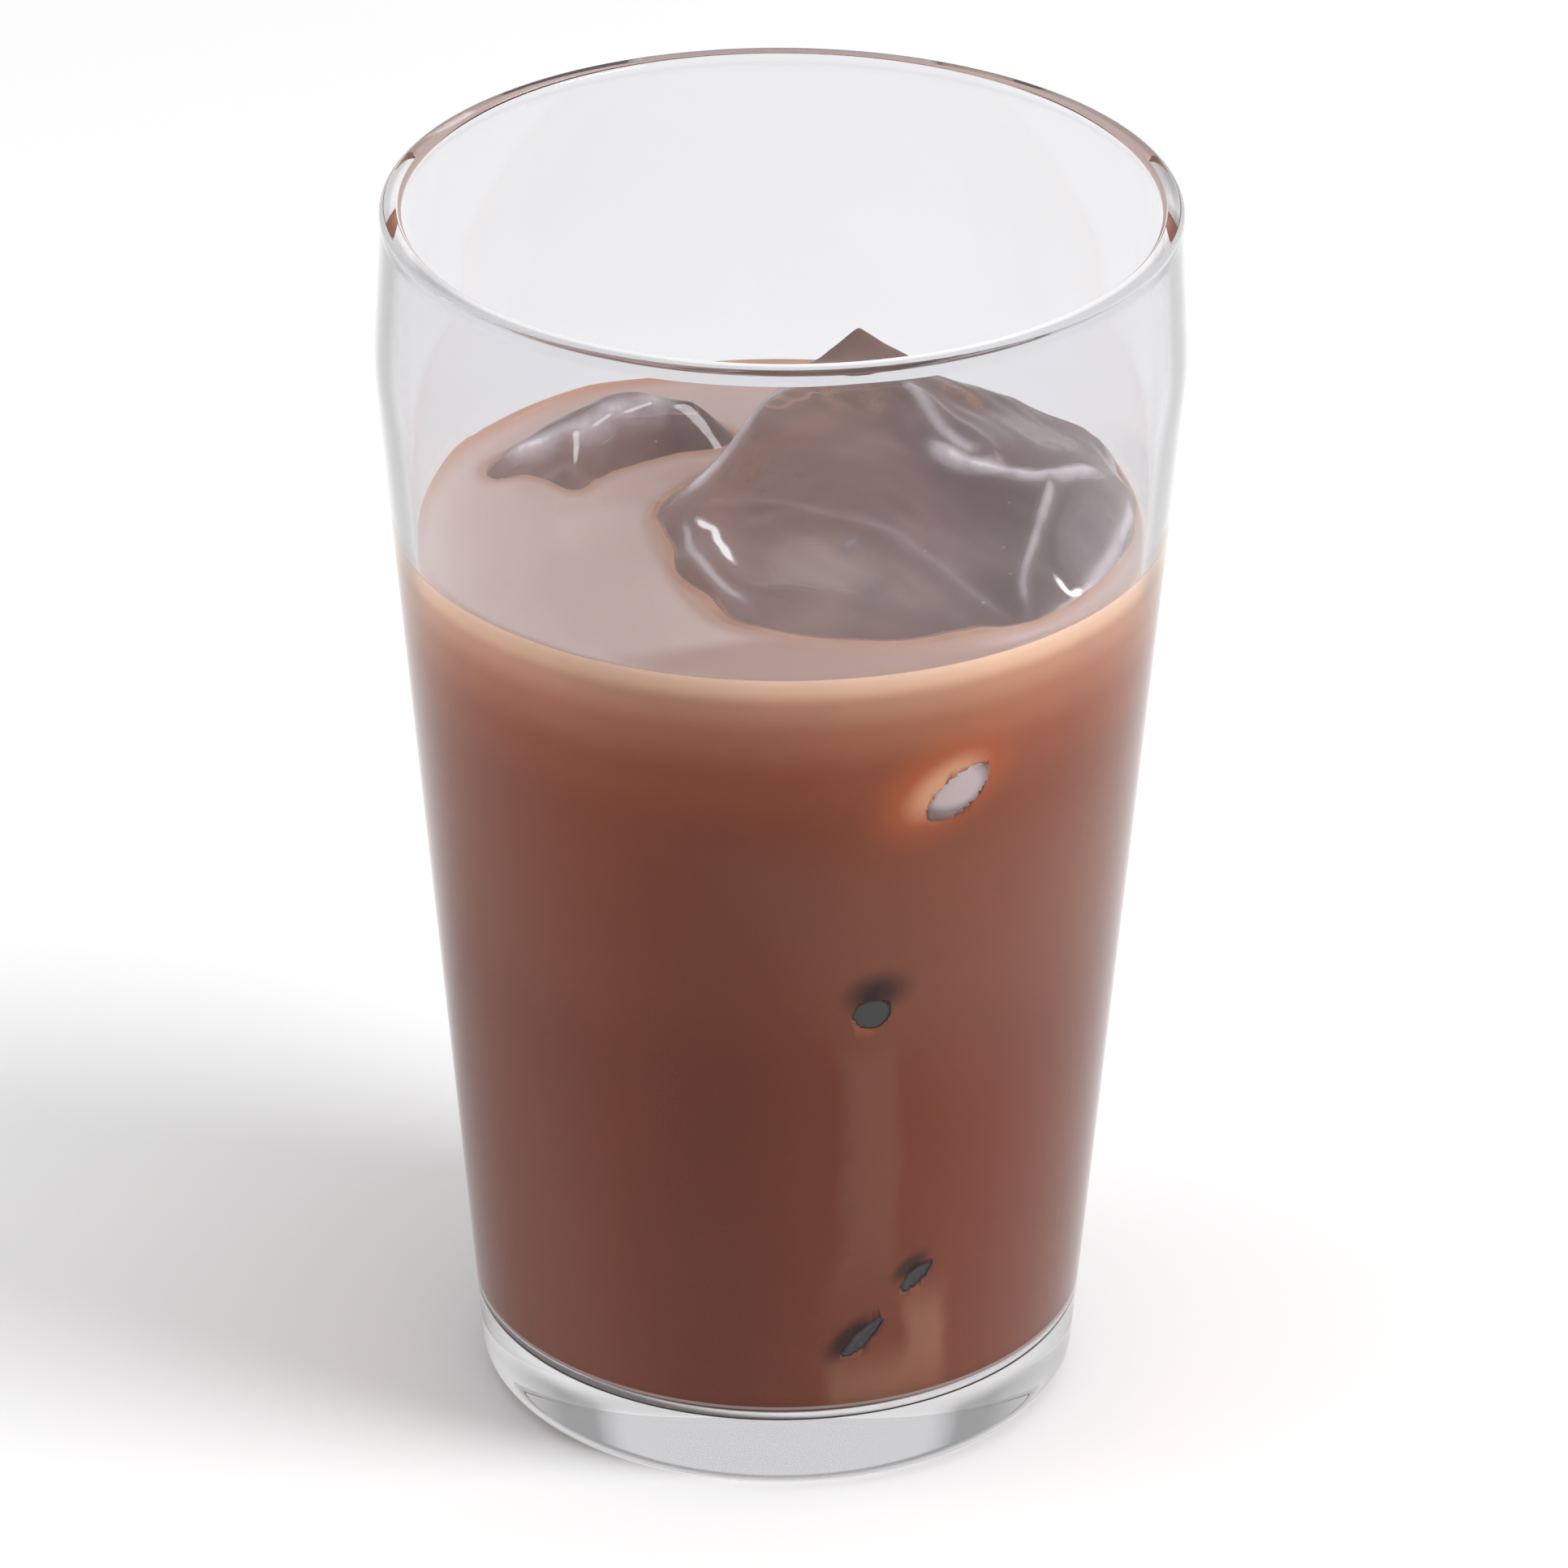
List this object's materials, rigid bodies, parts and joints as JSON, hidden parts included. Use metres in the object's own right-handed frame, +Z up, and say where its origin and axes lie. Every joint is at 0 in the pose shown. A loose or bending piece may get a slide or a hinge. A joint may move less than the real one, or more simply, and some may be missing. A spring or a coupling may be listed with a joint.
{
  "type": "iced chocolate drink",
  "caption": "Milky cocoa drink with melting lumps of ice in a clear conical tumbler with a thick base and a rounded shoulder.",
  "frame": {"origin": "middle of the tumbler's foot, on the surface it stands on", "axes": "+Z up through the rim; -Y faces the viewer, with the large lump of ice to the right at +X"},
  "size_m": [0.075, 0.075, 0.12],
  "materials": {
    "clear_glass": "polished clear glass",
    "cocoa_drink": "glossy opaque liquid",
    "ice": "wet melting ice"
  },
  "bodies": {
    "root": {"glass": "clear_glass", "drink": "cocoa_drink", "ice_large": "ice", "ice_back": "ice"}
  },
  "joints": []
}
